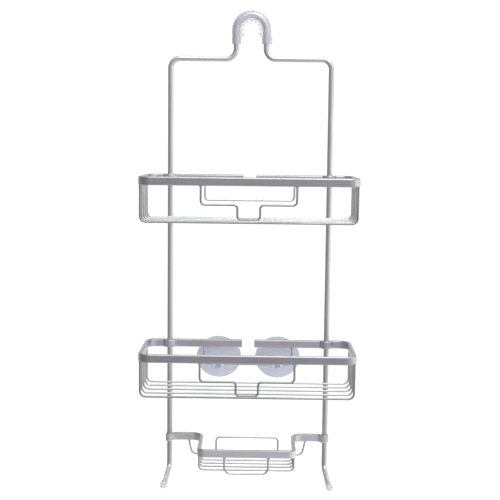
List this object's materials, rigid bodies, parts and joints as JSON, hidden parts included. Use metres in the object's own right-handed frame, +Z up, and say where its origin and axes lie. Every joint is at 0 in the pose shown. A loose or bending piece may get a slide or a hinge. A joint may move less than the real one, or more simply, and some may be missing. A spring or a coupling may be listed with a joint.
{
  "type": "shower caddy",
  "caption": "Over-the-arm aluminium shower caddy: a bent rod hanger with wire baskets, a soap dish, bottom hooks and suction cups.",
  "frame": {"origin": "axis of the shower arm, at the middle of the toothed sleeve, in the plane of the rod", "axes": "+Z up, +Y from the caddy toward the wall, +X to the right for someone facing the wall"},
  "size_m": [0.302, 0.1443, 0.6944],
  "materials": {
    "rod_aluminium": "satin anodised drawn rod",
    "strap_aluminium": "satin anodised flat strap with a fine lengthwise grain",
    "wire_aluminium": "satin anodised drawn wire",
    "clear_sleeve": "translucent soft plastic with a smooth gloss",
    "clear_cap": "clear soft plastic",
    "clear_bush": "clear hard plastic",
    "cup_vinyl": "translucent soft vinyl"
  },
  "bodies": {
    "frame": {"hanger_frame": "rod_aluminium", "hook_sleeve": "clear_sleeve", "left_hook_cap": "clear_cap", "right_hook_cap": "clear_cap", "upper_band": "strap_aluminium", "upper_front_guard": "wire_aluminium", "upper_rear_guard": "wire_aluminium", "upper_floor_wire_1": "wire_aluminium", "upper_floor_wire_2": "wire_aluminium", "upper_floor_wire_3": "wire_aluminium", "upper_floor_wire_4": "wire_aluminium", "upper_floor_wire_5": "wire_aluminium", "lower_band": "strap_aluminium", "lower_front_guard": "wire_aluminium", "lower_rear_guard": "wire_aluminium", "lower_floor_wire_1": "wire_aluminium", "lower_floor_wire_2": "wire_aluminium", "lower_floor_wire_3": "wire_aluminium", "lower_floor_wire_4": "wire_aluminium", "lower_floor_wire_5": "wire_aluminium", "dish_rail": "strap_aluminium", "dish_floor_wire_1": "wire_aluminium", "dish_floor_wire_2": "wire_aluminium", "dish_floor_wire_3": "wire_aluminium", "dish_floor_wire_4": "wire_aluminium", "dish_floor_wire_5": "wire_aluminium", "dish_back_wire": "wire_aluminium", "dish_back_arch": "wire_aluminium", "washcloth_loop": "wire_aluminium"},
    "left_bush": {"left_cup_bush": "clear_bush"},
    "left_cup": {"left_suction_cup": "cup_vinyl"},
    "right_bush": {"right_cup_bush": "clear_bush"},
    "right_cup": {"right_suction_cup": "cup_vinyl"}
  },
  "joints": [
    {"name": "left_bush_slide", "type": "slide", "parent": "frame", "child": "left_bush", "axis": [1, 0, 0], "range_m": [-0.007, 0.01]},
    {"name": "left_cup_swing", "type": "hinge", "parent": "left_bush", "child": "left_cup", "pos_m": [-0.0437, 0, -0.487], "axis": [1, 0, 0], "range_deg": [-60, 10.5]},
    {"name": "right_bush_slide", "type": "slide", "parent": "frame", "child": "right_bush", "axis": [1, 0, 0], "range_m": [-0.01, 0.007]},
    {"name": "right_cup_swing", "type": "hinge", "parent": "right_bush", "child": "right_cup", "pos_m": [0.0437, 0, -0.487], "axis": [1, 0, 0], "range_deg": [-60, 10.5]}
  ]
}
